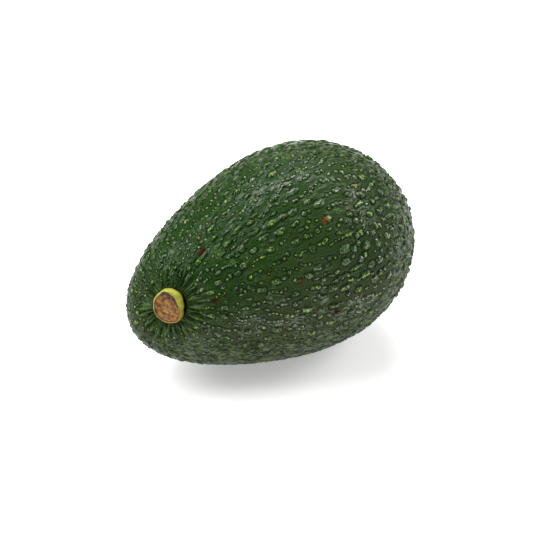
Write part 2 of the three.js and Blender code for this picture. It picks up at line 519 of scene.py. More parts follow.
def makeDotCloud():
    draw = np.random.default_rng(dots["seed"])
    count = len(beadDirections)
    points = bodyPoints(beadDirections)
    along, across = rowAxes(points, bodyNormals(beadDirections))
    widths = beadSizes[:, 1]
    reach = dots["offCentre"] * widths * np.sqrt(draw.random(count))
    turn = draw.random(count) * 2 * math.pi
    offset = along * (reach * np.cos(turn))[:, None] + across * (reach * np.sin(turn))[:, None]
    radius = draw.uniform(*dots["radius"], count) * np.clip(widths, *dots["widthEffect"])
    hasDot = draw.random(count) < dots["share"]
    hasSecond = hasDot & (draw.random(count) < dots["secondShare"]) & (widths > dots["secondWidth"])
    secondTurn = turn + draw.uniform(2, 4, count)
    aside = along * np.cos(secondTurn)[:, None] + across * np.sin(secondTurn)[:, None]
    second = points + aside * (dots["secondOffCentre"] * widths)[:, None]
    loose = unit(draw.normal(size=(dots["looseCount"], 3)))
    directions = (directionsOf(points + offset)[hasDot], directionsOf(second)[hasSecond], loose)
    directions = np.concatenate(directions)
    looseRadius = draw.uniform(*dots["looseRadius"], len(loose))
    radii = np.concatenate((radius[hasDot], dots["secondRadius"] * radius[hasSecond], looseRadius))
    clear = np.linalg.norm(bodyPoints(directions) - stubSeat, axis=-1) > dots["clearStub"]
    directions, radii = directions[clear], radii[clear]
    tone = draw.random(len(directions))
    return pointCloud("dot points", sunkPoints(directions), radius=radii * mm, tone=tone), directions


def makeMarkCloud():
    pixels, radii, tones = zip(*marks)
    directions = np.array([directionAtPixel(*pixel) for pixel in pixels])
    radii = np.array(radii) * mm
    return pointCloud("mark points", sunkPoints(directions), radius=radii, tone=np.array(tones))


dotCloud, dotDirections = makeDotCloud()
markCloud = makeMarkCloud()
print("dots:", len(dotDirections), "marks:", len(marks))


# the skin's mesh: rings round the stub, finer near it, with a vertex pulled onto every dot
skin = {
    "fineSpacing": 0.23,
    "spacing": 0.433,
    "rowShare": 0.87,  # between rings, so that the triangles are even
    "probeCount": 48,
    "fineReach": (8, 17),  # where the mesh goes from fine to coarse
    "roundReach": (8, 45),  # where the rings go from circles on the skin to circles on the sphere
}


def ringMetric():  # millimetres for each radian, for a step from the stub at an angle
    step = 1e-4
    first = unit(np.cross(up, seatDirection))
    second = np.cross(seatDirection, first)
    here = bodyPoints(seatDirection)
    alongFirst = (bodyPoints(unit(seatDirection + first * step)) - here) / step
    alongSecond = (bodyPoints(unit(seatDirection + second * step)) - here) / step
    return first, second, alongFirst, alongSecond


ringFirst, ringSecond, ringAlongFirst, ringAlongSecond = ringMetric()


def ringDirections(radius, count):
    angles = np.arange(count) * 2 * math.pi / count
    cosine, sine = np.cos(angles)[:, None], np.sin(angles)[:, None]
    metric = np.linalg.norm(cosine * ringAlongFirst + sine * ringAlongSecond, axis=1)
    mean = (np.linalg.norm(ringAlongFirst) + np.linalg.norm(ringAlongSecond)) / 2
    share = smoothStep(*skin["roundReach"], radius)
    polar = radius * ((1 - share) / metric + share / mean)[:, None]
    return np.cos(polar) * seatDirection + np.sin(polar) * (cosine * ringFirst + sine * ringSecond), mean


def stitchRings(lowerStart, lowerCount, upperStart, upperCount):
    faces = []
    i = j = 0
    while i < lowerCount or j < upperCount:
        here = (lowerStart + i % lowerCount, upperStart + j % upperCount)
        if j >= upperCount or (i < lowerCount and (i + 1) * upperCount <= (j + 1) * lowerCount):
            i += 1
            faces.append((here[0], here[1], lowerStart + i % lowerCount))
        else:
            j += 1
            faces.append((here[0], here[1], upperStart + j % upperCount))
    return faces


def fanFaces(middle, start, count):
    return [(middle, start + i, start + (i + 1) % count) for i in range(count)]


def ringSpacing(radius):
    coarser = skin["spacing"] - skin["fineSpacing"]
    return skin["fineSpacing"] + coarser * smoothStep(*skin["fineReach"], radius)


def makeRings():
    directions, faces = [seatDirection[None]], []
    start, count, radius = 0, 1, 0.0
    lastRadius = math.pi * ringDirections(1.0, 8)[1]
    while True:
        spacing = ringSpacing(radius)
        radius += skin["rowShare"] * spacing
        if radius > lastRadius - 0.5 * spacing:
            break
        outline = bodyPoints(ringDirections(radius, skin["probeCount"])[0])
        length = np.sum(np.linalg.norm(outline - np.roll(outline, 1, axis=0), axis=1))
        ringCount = max(6, round(length / spacing))
        directions.append(ringDirections(radius, ringCount)[0])
        ringStart = start + count
        if start:
            faces += stitchRings(start, count, ringStart, ringCount)
        else:
            faces += fanFaces(0, ringStart, ringCount)
        start, count = ringStart, ringCount
    directions.append(-seatDirection[None])
    faces += [(a, c, b) for a, b, c in fanFaces(start + count, start, count)]
    return np.concatenate(directions), faces


def pullOntoDots(directions):
    points = bodyPoints(directions)
    tree = kdtree.KDTree(len(points))
    for index, point in enumerate(points):
        tree.insert(point, index)
    tree.balance()
    for direction, point in zip(dotDirections, bodyPoints(dotDirections)):
        nearest = tree.find(point)[1]
        directions[nearest] = direction
    return directions


def makeSkinMesh():
    directions, faces = makeRings()
    points = sunkPoints(pullOntoDots(directions))
    print("skin vertices:", len(points), "triangles:", len(faces))
    return addObject("avocado_skin", makeMesh("avocado_skin", points, faces))


# the relief of the skin, made by Geometry Nodes on that mesh
relief = {
    "Sink Share": 0.22,  # how deep a pebble's middle lies under the skin
    "Moat Reach": 7,
    "Moat Depth": 0.9,
    "Base Sink": 0.42,
    "Unevenness": 0.25,
    "Pucker Height": 3.2,
    "Pucker Count": 12.0,
    "Pucker Inner": 4.6,
    "Pucker Outer": 15.0,
}
puckers = {
    "innerFull": 6.2,  # the folds are full from here
    "outerFull": 7.5,  # to here
    "farSide": (26, 20),  # no folds on the far side of the fruit
    "wander": 160.0,  # how much they change on their way out
    "detail": 2.5,
    "roughness": 0.6,
}


def attribute(tree, name, kind):
    made = addNode(tree, "GeometryNodeInputNamedAttribute", {"Name": name}, data_type=kind)
    return made.outputs["Attribute"]


def geometryOf(tree, cloud):
    return addNode(tree, "GeometryNodeObjectInfo", {"Object": cloud}).outputs["Geometry"]


def sampleNearest(tree, cloud, position, name, kind):
    nearest = addNode(tree, "GeometryNodeSampleNearest", {"Geometry": cloud, "Sample Position": position})
    inputs = {"Geometry": cloud, "Value": attribute(tree, name, kind), "Index": nearest.outputs["Index"]}
    return addNode(tree, "GeometryNodeSampleIndex", inputs, data_type=kind).outputs["Value"]


def beadTurn(tree):  # out of the skin, and lengthwise along the row
    inputs = {"Vector": attribute(tree, "out", "FLOAT_VECTOR")}
    upright = addNode(tree, "FunctionNodeAlignRotationToVector", inputs, axis="Z").outputs[0]
    inputs = {"Rotation": upright, "Vector": attribute(tree, "along", "FLOAT_VECTOR")}
    turned = addNode(tree, "FunctionNodeAlignRotationToVector", inputs, axis="X", pivot_axis="Z")
    return turned.outputs[0]


def pebbleHeight(tree, inputs, position, normal):  # half-sunk balls, read by a ray down onto the skin
    ball = addNode(tree, "GeometryNodeMeshIcoSphere", {"Radius": 1.0, "Subdivisions": 3}).outputs["Mesh"]
    sink = join(tree, Z=times(tree, inputs["Sink Share"], -1.0))
    lowered = addNode(tree, "GeometryNodeTransform", {"Geometry": ball, "Translation": sink}).outputs[0]
    values = {"Points": geometryOf(tree, inputs["Beads"]), "Instance": lowered, "Rotation": beadTurn(tree)}
    values |= {"Scale": attribute(tree, "size", "FLOAT_VECTOR")}
    balls = addNode(tree, "GeometryNodeInstanceOnPoints", values).outputs[0]
    solid = addNode(tree, "GeometryNodeRealizeInstances", {"Geometry": balls}).outputs[0]
    reach = 3 * mm
    values = {"Target Geometry": solid, "Ray Length": reach}
    values |= {"Source Position": combine(tree, "ADD", position, stretch(tree, normal, reach))}
    values |= {"Ray Direction": stretch(tree, normal, -1.0)}
    ray = addNode(tree, "GeometryNodeRaycast", values).outputs
    return times(tree, minus(tree, reach, ray["Hit Distance"]), ray["Is Hit"])


def beadReach(tree, inputs, position):  # distance from the nearest bead, 1 at its foot, and its height
    cloud = geometryOf(tree, inputs["Beads"])
    names = ("position", "along", "size")
    middle, along, size = (sampleNearest(tree, cloud, position, name, "FLOAT_VECTOR") for name in names)
    away = combine(tree, "SUBTRACT", position, middle)
    sizes = axes(tree, size)
    lengthwise = dot(tree, away, along)
    whole = dot(tree, away, away)
    across = minus(tree, whole, times(tree, lengthwise, lengthwise))
    across = over(tree, across, times(tree, sizes["Y"], sizes["Y"]))
    lengthwise = over(tree, lengthwise, sizes["X"])
    total = plus(tree, times(tree, lengthwise, lengthwise), across)
    reach = calculate(tree, "SQRT", larger(tree, total, 0.0))
    return reach, over(tree, sizes["Z"], mm)


def blurred(tree, value, iterations):
    inputs = {"Value": value, "Iterations": iterations}
    return addNode(tree, "GeometryNodeBlurAttribute", inputs, data_type="FLOAT").outputs["Value"]


def puckerWave(tree, inputs, position):  # folds that run out from the stub
    away = combine(tree, "SUBTRACT", position, tuple(stubSeat * mm))
    x = dot(tree, away, tuple(stubSide))
    y = dot(tree, away, tuple(stubRise))
    flat = join(tree, X=x, Y=y)
    reach = combine(tree, "LENGTH", flat)
    spread = stretch(tree, combine(tree, "NORMALIZE", flat), inputs["Pucker Count"])
    slow = join(tree, Z=times(tree, reach, puckers["wander"]))
    place = combine(tree, "ADD", spread, slow)
    wave = minus(tree, noise(tree, place, 1.0, puckers["detail"], Roughness=puckers["roughness"]), 0.5)
    near = remap(tree, reach, times(tree, inputs["Pucker Outer"], mm), puckers["outerFull"] * mm)
    side = remap(tree, combine(tree, "LENGTH", away), *(limit * mm for limit in puckers["farSide"]))
    inner = remap(tree, reach, times(tree, inputs["Pucker Inner"], mm), puckers["innerFull"] * mm)
    return times(tree, wave, times(tree, near, side, inner))


def storeValue(tree, geometry, name, value):
    inputs = {"Geometry": geometry, "Name": name, "Value": value}
    made = addNode(tree, "GeometryNodeStoreNamedAttribute", inputs, data_type="FLOAT", domain="POINT")
    return made.outputs["Geometry"]


def storeMark(tree, geometry, cloud, position, name):  # distance in radii from the nearest one, and its tone
    inputs = {0: cloud, "Source Position": position}
    found = addNode(tree, "GeometryNodeProximity", inputs, target_element="POINTS")
    radius = sampleNearest(tree, cloud, position, "radius", "FLOAT")
    geometry = storeValue(tree, geometry, name, over(tree, found.outputs["Distance"], radius))
    return storeValue(tree, geometry, name + "Tone", sampleNearest(tree, cloud, position, "tone", "FLOAT"))


def buildReliefTree(material):
    tree = bpy.data.node_groups.new("pebbled skin", "GeometryNodeTree")
    inputs = {"Geometry": ("Geometry", None)}
    inputs |= {name: ("Object", None) for name in ("Beads", "Dots", "Marks")}
    inputs |= {name: ("Int" if isinstance(value, int) else "Float", value) for name, value in relief.items()}
    source, output = giveInputs(tree, inputs, {"Geometry": "Geometry"})
    position = addNode(tree, "GeometryNodeInputPosition").outputs[0]
    normal = addNode(tree, "GeometryNodeInputNormal").outputs[0]
    dome = pebbleHeight(tree, source, position, normal)
    broad = blurred(tree, dome, source["Moat Reach"])
    moat = times(tree, broad, remap(tree, dome, 0.22 * mm, 0.0))
    uneven = minus(tree, noise(tree, position, 140.0, 2.0), 0.5)
    uneven = times(tree, uneven, times(tree, source["Unevenness"], 2 * mm))
    height = minus(tree, plus(tree, dome, uneven), times(tree, moat, source["Moat Depth"]))
    pucker = puckerWave(tree, source, position)
    height = plus(tree, height, times(tree, pucker, times(tree, source["Pucker Height"], mm)))
    height = minus(tree, height, times(tree, source["Base Sink"], mm))
    rim, rise = beadReach(tree, source, position)
    geometry = source["Geometry"]
    for name, value in (("rim", rim), ("rise", rise), ("streak", pucker)):
        geometry = storeValue(tree, geometry, name, value)
    for name, attributeName in (("Dots", "dot"), ("Marks", "mark")):
        geometry = storeMark(tree, geometry, geometryOf(tree, source[name]), position, attributeName)
    lift = stretch(tree, normal, height)
    raised = addNode(tree, "GeometryNodeSetPosition", {"Geometry": geometry, "Offset": lift}).outputs[0]
    place = axes(tree, position)
    flat = join(tree, X=place["X"], Y=place["Y"], Z=larger(tree, place["Z"], 0.0))  # flat where it rests
    rested = addNode(tree, "GeometryNodeSetPosition", {"Geometry": raised, "Position": flat}).outputs[0]
    smooth = addNode(tree, "GeometryNodeSetShadeSmooth", {0: rested}).outputs[0]
    whole = addNode(tree, "GeometryNodeRealizeInstances", {"Geometry": smooth}).outputs[0]
    dressed = addNode(tree, "GeometryNodeSetMaterial", {"Geometry": whole, "Material": material}).outputs[0]
    tree.links.new(dressed, output["Geometry"])
    return tree


def applyTree(piece, tree, values):
    modifier = piece.modifiers.new(tree.name, "NODES")
    modifier.node_group = tree
    for item in tree.interface.items_tree:
        if item.in_out == "INPUT" and item.name in values:
            modifier[item.identifier] = values[item.name]
    bpy.context.view_layer.update()
    evaluated = piece.evaluated_get(bpy.context.evaluated_depsgraph_get())
    mesh = bpy.data.meshes.new_from_object(evaluated)
    mesh.name = piece.name
    piece.modifiers.remove(modifier)
    piece.data = mesh


# effects that both materials use
def buildMottleGroup():  # soft patches, from 0 to 1
    tree = bpy.data.node_groups.new("mottle", "ShaderNodeTree")
    inputs = {"Size": ("Float", 10.0), "Detail": ("Float", 4.0)}
    inputs |= {"Low": ("Float", 0.35), "High": ("Float", 0.65)}
    source, output = giveInputs(tree, inputs, {"Mask": "Float"})
    coordinates = addNode(tree, "ShaderNodeTexCoord").outputs["Object"]
    scale = over(tree, 1 / mm, source["Size"])
    patches = noise(tree, coordinates, scale, source["Detail"], Roughness=0.6)
    tree.links.new(remap(tree, patches, source["Low"], source["High"]), output["Mask"])
    return tree


def buildGrainGroup():  # fine pores and grain, as a height from 0 to 1
    tree = bpy.data.node_groups.new("fine grain", "ShaderNodeTree")
    inputs = {"Size": ("Float", 0.5), "Pores": ("Float", 0.5), "Pore Size": ("Float", 0.8)}
    source, output = giveInputs(tree, inputs, {"Height": "Float", "Pore Mask": "Float"})
    coordinates = addNode(tree, "ShaderNodeTexCoord").outputs["Object"]
    grain = noise(tree, coordinates, over(tree, 1 / mm, source["Size"]), 3.0)
    inputs = {"Vector": coordinates, "Scale": over(tree, 1 / mm, source["Pore Size"])}
    cells = addNode(tree, "ShaderNodeTexVoronoi", inputs)
    pore = remap(tree, cells.outputs["Distance"], 0.32, 0.12)
    tree.links.new(minus(tree, grain, times(tree, pore, source["Pores"])), output["Height"])
    tree.links.new(pore, output["Pore Mask"])
    return tree


mottleGroup = buildMottleGroup()
grainGroup = buildGrainGroup()


def useGroup(tree, group, names, values):
    return addNode(tree, "ShaderNodeGroup", dict(zip(names, values)), node_tree=group).outputs


def mottled(tree, values):
    return useGroup(tree, mottleGroup, ("Size", "Detail", "Low", "High"), values)["Mask"]


def grained(tree, values):
    return useGroup(tree, grainGroup, ("Size", "Pores", "Pore Size"), values)


def colour(red, green, blue):  # from the 0 to 255 scale of a picture to linear light
    values = [channel / 255 for channel in (red, green, blue)]
    linear = [v / 12.92 if v <= 0.04045 else ((v + 0.055) / 1.055) ** 2.4 for v in values]
    return (*linear, 1.0)


def tint(tree, share, below, above):
    inputs = {0: share, 6: below, 7: above}  # of sockets with the same names, those for colours
    return addNode(tree, "ShaderNodeMix", inputs, data_type="RGBA").outputs[2]


def bumped(tree, height, strength, distance, **more):
    inputs = {"Height": height, "Strength": strength, "Distance": distance * mm} | more
    return addNode(tree, "ShaderNodeBump", inputs).outputs[0]


def readAttribute(tree, name):
    return addNode(tree, "ShaderNodeAttribute", attribute_name=name).outputs["Fac"]


def newMaterial(name):
    material = bpy.data.materials.new(name)
    material.use_nodes = True
    tree = material.node_tree
    return material, tree, tree.nodes["Principled BSDF"]


skinLook = {
    "green": colour(46, 60, 35),
    "deepGreen": colour(39, 54, 29),
    "brightGreen": colour(9, 46, 1),  # on the sunny side
    "olive": colour(47, 44, 24),  # low down
    "moat": colour(3, 8, 1),  # painted shade for furrows and crevices
    "cap": colour(58, 98, 28),
    # painted glints round the beads' middles, and pale scuffs of painted highlight
    "paintedGlint": colour(104, 134, 84),
    # painted sheen on the ridges between beads and on the folds round the stub
    "paintedSheen": colour(76, 102, 56),
    # painted highlight on the crests of the waves
    "crestHighlight": colour(96, 114, 76),
    "dot": colour(134, 182, 16),
    "goldDot": colour(164, 150, 24),
    "scar": colour(118, 60, 24),
    "red": colour(48, 18, 14),
    "gap": colour(18, 15, 8),  # painted shade in the socket, round the stub
    "patches": {  # size in millimetres, detail, and where a patch starts and is full
        "ground": (20.0, 3.0, 0.35, 0.65),
        "brown": (13.0, 4.0, 0.3, 0.7),
        "fine": (1.6, 4.0, 0.25, 0.75),
        "net": (9.0, 3.0, 0.5, 0.6),
        "thinNet": (1.4, 3.0, 0.35, 0.6),
        "creases": (8.0, 3.0, 0.55, 0.7),
        "torn": (1.3, 3.0, 0.2, 0.8),
        "shadow": (3.5, 3.0, 0.3, 0.7),
        "spots": (0.8, 3.0, 0.3, 0.6),
        "paintedGlint": (0.7, 2.0, 0.5, 0.55),
        "roughness": (4.0, 5.0, 0.2, 0.8),
    },
    "rims": {  # in a bead's half-widths from its middle: where a part starts and is full, fades and ends
        "cap": (1.05, 0.5),
        "dome": (1.2, 0.95),
        # painted glints, as broken pale arcs
        "glintArc": (0.3, 0.5, 0.72, 0.95),
        "ring": (0.8, 1.08, 1.22, 1.6),
        "lip": (1.5, 1.8, 2.0, 2.5),
    },
    "places": {  # in millimetres, where a change over the fruit starts and is full
        "low": (29, 14),
        "brown": (50, 14),
        "end": (20, 36),
        "belt": (-10, -1, 9, 19),
        "sunnyGreen": (42, 84),
        "sunnyCreases": (46, 70),
        "sunnyGloss": (46, 76),
        "gap": (5.4, 4.9),
    },
    "beltAxis": (-0.404, -0.724, 0.559),  # towards the camera, square to the wrinkled belt along the fruit's outline as seen from there, where painted wave highlights and shade go
    "wrinkled": {"end": 0.6, "belt": 0.7},
    "calmer": {"cap": -0.4, "rim": -0.62, "dot": -0.55, "gloss": -0.35},  # where the skin is wrinkled
    "heights": {"cap": 0.35, "ring": -0.75, "lip": 0.8, "knobs": 0.6, "wrinkle": 0.3, "wave": 1.0},
    "bumpDistance": 0.55,  # how high a height of 1 stands
    "grain": (0.45, 0.5, 0.9),
    "grainStrength": 0.8,
    "grainDistance": 0.14,
    "creaseAlong": (0.4, 1, 1),  # wrinkles are longer than wide
    "creaseScale": 620.0,
    "creaseWidth": 0.06,
    "waveAlong": (0.4, 0.85, 1),
    "waveScale": 760.0,
    "knobSize": 0.95,
    "netSize": 4.6,
    "fineNetSize": 2.2,
    "roughness": (0.26, 0.46),
    "ringRoughness": 0.3,
    "gloss": {"dome": 0.2, "wrinkle": 0.3, "lip": 0.6, "mark": -0.9, "sunny": 0.46},
    "surface": {"Coat Roughness": 0.2, "Coat IOR": 1.74, "Specular IOR Level": 0.02},
}
skinShares = {  # how strongly a colour covers what lies under it
    "brightGreen": 0.8,
    "fine": 0.12,
    "wrinkle": 0.2,
    # painted highlight on wave crests, and painted shade in wave troughs
    "crestHighlight": 0.6,
    "troughShade": 0.58,
    # painted sheen on the folds' crests, and painted shade in their troughs
    "streak": 0.8,
    "streakShade": 0.5,
    # painted sheen on the ridges between beads
    "paintedSheen": (0.1, 0.5),
    "brown": (0.6, 0.3),
    # painted shade in the furrow round each bead
    "ring": (0.45, 0.1),
    "cap": (0.4, 0.12),
    # painted shade between a bead's knobs
    "creviceShade": 0.45,
    # painted glints
    "paintedGlint": 0.5,
    "dot": (0.35, 0.85),
    "lowDot": -0.6,
    "mark": (0.9, 0.25),  # of a scar, and of a pale scuff of painted highlight
}


def skinPatch(tree, name):
    return mottled(tree, skinLook["patches"][name])


def metres(name):
    return [place * mm for place in skinLook["places"][name]]


def sunnySide(tree, coordinates, name, *ends):  # high up, towards the stem end
    place = axes(tree, coordinates)
    return remap(tree, minus(tree, place["Z"], place["X"]), *metres(name), *ends)


def ridgeNet(tree, coordinates, size):  # wavy ridges between irregular cells
    inputs = {"Vector": coordinates, "Scale": 260.0, "Detail": 2.0}
    bend = addNode(tree, "ShaderNodeTexNoise", inputs).outputs["Color"]
    bent = combine(tree, "ADD", coordinates, stretch(tree, bend, 3 * mm))
    inputs = {"Vector": combine(tree, "MULTIPLY", bent, (0.45, 1, 1)), "Scale": 1 / (size * mm)}
    cells = addNode(tree, "ShaderNodeTexVoronoi", inputs, feature="DISTANCE_TO_EDGE")
    return remap(tree, cells.outputs["Distance"], 0.12, 0.03)


def creases(tree, coordinates, wavy):  # fine lines that run along the fruit, in patches
    stretched = combine(tree, "MULTIPLY", coordinates, skinLook["creaseAlong"])
    lines = minus(tree, noise(tree, stretched, skinLook["creaseScale"], 3.0, Roughness=0.6), 0.5)
    lines = remap(tree, calculate(tree, "ABSOLUTE", lines), skinLook["creaseWidth"], 0.0)
    sunny = sunnySide(tree, coordinates, "sunnyCreases")
    return times(tree, lines, larger(tree, skinPatch(tree, "creases"), sunny, wavy))


def waves(tree, coordinates, wavy):  # wrinkles that run along the fruit, from -1 to 1
    stretched = combine(tree, "MULTIPLY", coordinates, skinLook["waveAlong"])
    swell = noise(tree, stretched, skinLook["waveScale"], 1.5, Distortion=0.7)
    return times(tree, remap(tree, swell, 0.37, 0.63, -1.0, 1.0), wavy)


def wrinkledZone(tree, coordinates, low):  # the bottom, the blossom end and a belt round the fruit
    end = remap(tree, axes(tree, coordinates)["X"], *metres("end"), 0.0, skinLook["wrinkled"]["end"])
    across = dot(tree, coordinates, skinLook["beltAxis"])
    across = minus(tree, across, float(eggCentre @ skinLook["beltAxis"]) * mm)
    belt = times(tree, band(tree, across, *metres("belt")), skinLook["wrinkled"]["belt"])
    return larger(tree, end, belt, low)


def skinForms(tree, coordinates, wavy):  # masks of the beads' parts, and of the net of ridges between them
    rims, calmer = skinLook["rims"], skinLook["calmer"]
    wobble = noise(tree, coordinates, 900.0, 3.0)
    rim = plus(tree, readAttribute(tree, "rim"), scaled(tree, wobble, 1.3, -0.65))
    rise = remap(tree, readAttribute(tree, "rise"), 0.02, 0.25)
    cap = times(tree, remap(tree, rim, *rims["cap"]), rise, scaled(tree, wavy, calmer["cap"]))
    rise = times(tree, rise, scaled(tree, wavy, calmer["rim"]))
    dome = times(tree, remap(tree, rim, *rims["dome"]), rise)
    glintArc, ring, lip = (times(tree, band(tree, rim, *rims[name]), rise) for name in ("glintArc", "ring", "lip"))
    patchy = skinPatch(tree, "net")
    lip = times(tree, lip, scaled(tree, patchy, 0.85, 0.15))
    offCap = minus(tree, 1.0, larger(tree, cap, ring))
    coarse = times(tree, ridgeNet(tree, coordinates, skinLook["netSize"]), patchy, offCap)
    fine = times(tree, ridgeNet(tree, coordinates, skinLook["fineNetSize"]), wavy)
    fine = times(tree, fine, scaled(tree, offCap, 0.6, 0.4))
    thin = scaled(tree, skinPatch(tree, "thinNet"), 0.75, 0.25)
    lip = times(tree, larger(tree, lip, coarse, fine), thin)
    inputs = {"Vector": coordinates, "Scale": 1 / (skinLook["knobSize"] * mm)}
    knobs = addNode(tree, "ShaderNodeTexVoronoi", inputs).outputs["Distance"]
    knobs = times(tree, remap(tree, knobs, 0.6, 0.2), dome)
    return {"cap": cap, "dome": dome, "glintArc": glintArc, "ring": ring, "lip": lip, "knobs": knobs}


def skinGround(tree, coordinates):  # the colour of the skin under its beads
    base = tint(tree, skinPatch(tree, "ground"), skinLook["deepGreen"], skinLook["green"])
    sunny = times(tree, sunnySide(tree, coordinates, "sunnyGreen"), skinShares["brightGreen"])
    base = tint(tree, sunny, base, skinLook["brightGreen"])
    brown = scaled(tree, skinPatch(tree, "brown"), *skinShares["brown"])
    brown = times(tree, remap(tree, axes(tree, coordinates)["Z"], *metres("brown")), brown)
    base = tint(tree, brown, base, skinLook["olive"])
    return tint(tree, times(tree, skinPatch(tree, "fine"), skinShares["fine"]), base, skinLook["cap"])


def addWrinkles(tree, base, wrinkle, wave):
    base = tint(tree, times(tree, wrinkle, skinShares["wrinkle"]), base, skinLook["cap"])
    # painted highlight on wave crests, and painted shade in wave troughs
    base = tint(tree, remap(tree, wave, 0.0, 0.9, 0.0, skinShares["crestHighlight"]), base, skinLook["crestHighlight"])
    base = tint(tree, remap(tree, wave, 0.0, -0.9, 0.0, skinShares["troughShade"]), base, skinLook["moat"])
    # painted sheen on the folds round the stub, and painted shade between them
    streak = readAttribute(tree, "streak")
    base = tint(tree, remap(tree, streak, 0.0, 0.12, 0.0, skinShares["streak"]), base, skinLook["paintedSheen"])
    shade = remap(tree, streak, -0.01, -0.11, 0.0, skinShares["streakShade"])
    return tint(tree, shade, base, skinLook["moat"])


def addBeadColours(tree, base, forms, wavy):
    # painted sheen on the lips and ridge nets between beads
    sheenShare = times(tree, forms["lip"], scaled(tree, wavy, *skinShares["paintedSheen"]))
    base = tint(tree, sheenShare, base, skinLook["paintedSheen"])
    # painted shade in the furrow round each bead, in patches
    shadow = times(tree, forms["ring"], scaled(tree, skinPatch(tree, "shadow"), *skinShares["ring"]))
    base = tint(tree, shadow, base, skinLook["moat"])
    capShare = times(tree, forms["cap"], scaled(tree, skinPatch(tree, "spots"), *skinShares["cap"]))
    base = tint(tree, capShare, base, skinLook["cap"])
    # painted shade in the crevices between a bead's knobs
    creviceShade = minus(tree, forms["dome"], forms["knobs"], clamp=True)
    creviceShade = times(tree, creviceShade, skinShares["creviceShade"])
    base = tint(tree, creviceShade, base, skinLook["moat"])
    # painted glints: broken pale arcs round each bead's middle
    glintShare = times(tree, skinPatch(tree, "paintedGlint"), forms["glintArc"], skinShares["paintedGlint"])
    return tint(tree, glintShare, base, skinLook["paintedGlint"])


def addDots(tree, base, ragged, wavy, low):
    tone = readAttribute(tree, "dotTone")
    dotColour = tint(tree, remap(tree, tone, 0.86, 1.0), skinLook["dot"], skinLook["goldDot"])
    dotMask = remap(tree, plus(tree, readAttribute(tree, "dot"), ragged), 1.3, 0.7)
    share = remap(tree, tone, 0.0, 0.35, *skinShares["dot"])
    share = times(tree, share, scaled(tree, wavy, skinLook["calmer"]["dot"]))
    share = times(tree, share, scaled(tree, low, skinShares["lowDot"]))
    return tint(tree, times(tree, dotMask, share), base, dotColour)


def addMarks(tree, base, ragged):  # scars and specks from orange to dark red, and pale scuffs of painted highlight
    torn = scaled(tree, skinPatch(tree, "torn"), 1.0, -0.4)
    tone = plus(tree, readAttribute(tree, "markTone"), times(tree, ragged, 0.7))
    markColour = tint(tree, tone, skinLook["scar"], skinLook["red"])
    # the pale scuffs take the painted glint colour, as painted highlight
    markColour = tint(tree, remap(tree, tone, 1.4, 1.6), markColour, skinLook["paintedGlint"])
    mask = remap(tree, plus(tree, torn, readAttribute(tree, "mark")), 1.15, 0.85)
    share = remap(tree, tone, 1.4, 1.6, *skinShares["mark"])
    return tint(tree, times(tree, mask, share), base, markColour), mask


def skinGloss(tree, coordinates, forms, wrinkle, markMask, wavy):
    gloss = skinLook["gloss"]
    dome = times(tree, forms["dome"], gloss["dome"])
    glaze = larger(tree, forms["knobs"], dome, times(tree, wrinkle, gloss["wrinkle"]))
    glaze = plus(tree, glaze, times(tree, forms["lip"], gloss["lip"]), clamp=True)
    glaze = times(tree, glaze, scaled(tree, markMask, gloss["mark"]))
    glaze = times(tree, glaze, sunnySide(tree, coordinates, "sunnyGloss", 1.0, gloss["sunny"]))
    return times(tree, glaze, scaled(tree, wavy, skinLook["calmer"]["gloss"]))


def skinBump(tree, forms, wrinkle, wave):
    masks = forms | {"wrinkle": wrinkle, "wave": wave}
    shape = 0.0
    for name, height in skinLook["heights"].items():
        shape = plus(tree, shape, times(tree, masks[name], height))
    broad = bumped(tree, shape, 1.0, skinLook["bumpDistance"])
    grain = grained(tree, skinLook["grain"])["Height"]
    return bumped(tree, grain, skinLook["grainStrength"], skinLook["grainDistance"], Normal=broad)


def makeSkinMaterial():
    material, tree, shader = newMaterial("avocado skin")
    coordinates = addNode(tree, "ShaderNodeTexCoord").outputs["Object"]
    low = remap(tree, axes(tree, coordinates)["Z"], *metres("low"))
    wavy = wrinkledZone(tree, coordinates, low)
    forms = skinForms(tree, coordinates, wavy)
    wrinkle = creases(tree, coordinates, wavy)
    wave = waves(tree, coordinates, wavy)
    ragged = scaled(tree, noise(tree, coordinates, 3200.0, 2.0), 1.1, -0.55)
    base = addWrinkles(tree, skinGround(tree, coordinates), wrinkle, wave)
    base = addBeadColours(tree, base, forms, wavy)
    base = addDots(tree, base, ragged, wavy, low)
    base, markMask = addMarks(tree, base, ragged)
    # painted shade in the socket round the stub
    away = combine(tree, "DISTANCE", coordinates, tuple(stubSeat * mm))
    base = tint(tree, remap(tree, away, *metres("gap")), base, skinLook["gap"])
    rough = remap(tree, skinPatch(tree, "roughness"), 0.0, 1.0, *skinLook["roughness"])
    rough = plus(tree, rough, times(tree, forms["ring"], skinLook["ringRoughness"]))
    inputs = {"Base Color": base, "Roughness": rough, "Normal": skinBump(tree, forms, wrinkle, wave)}
    inputs |= {"Coat Weight": skinGloss(tree, coordinates, forms, wrinkle, markMask, wavy)}
    setInputs(tree, shader, inputs | skinLook["surface"])
    return material


def makeSkin():
    piece = makeSkinMesh()
    tree = buildReliefTree(makeSkinMaterial())
    applyTree(piece, tree, {"Beads": beadCloud, "Dots": dotCloud, "Marks": markCloud} | relief)
    for cloud in (beadCloud, dotCloud, markCloud):
        bpy.data.objects.remove(cloud)
    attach(piece, "root")
    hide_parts("fruit")


makeSkin()
print("skin made")


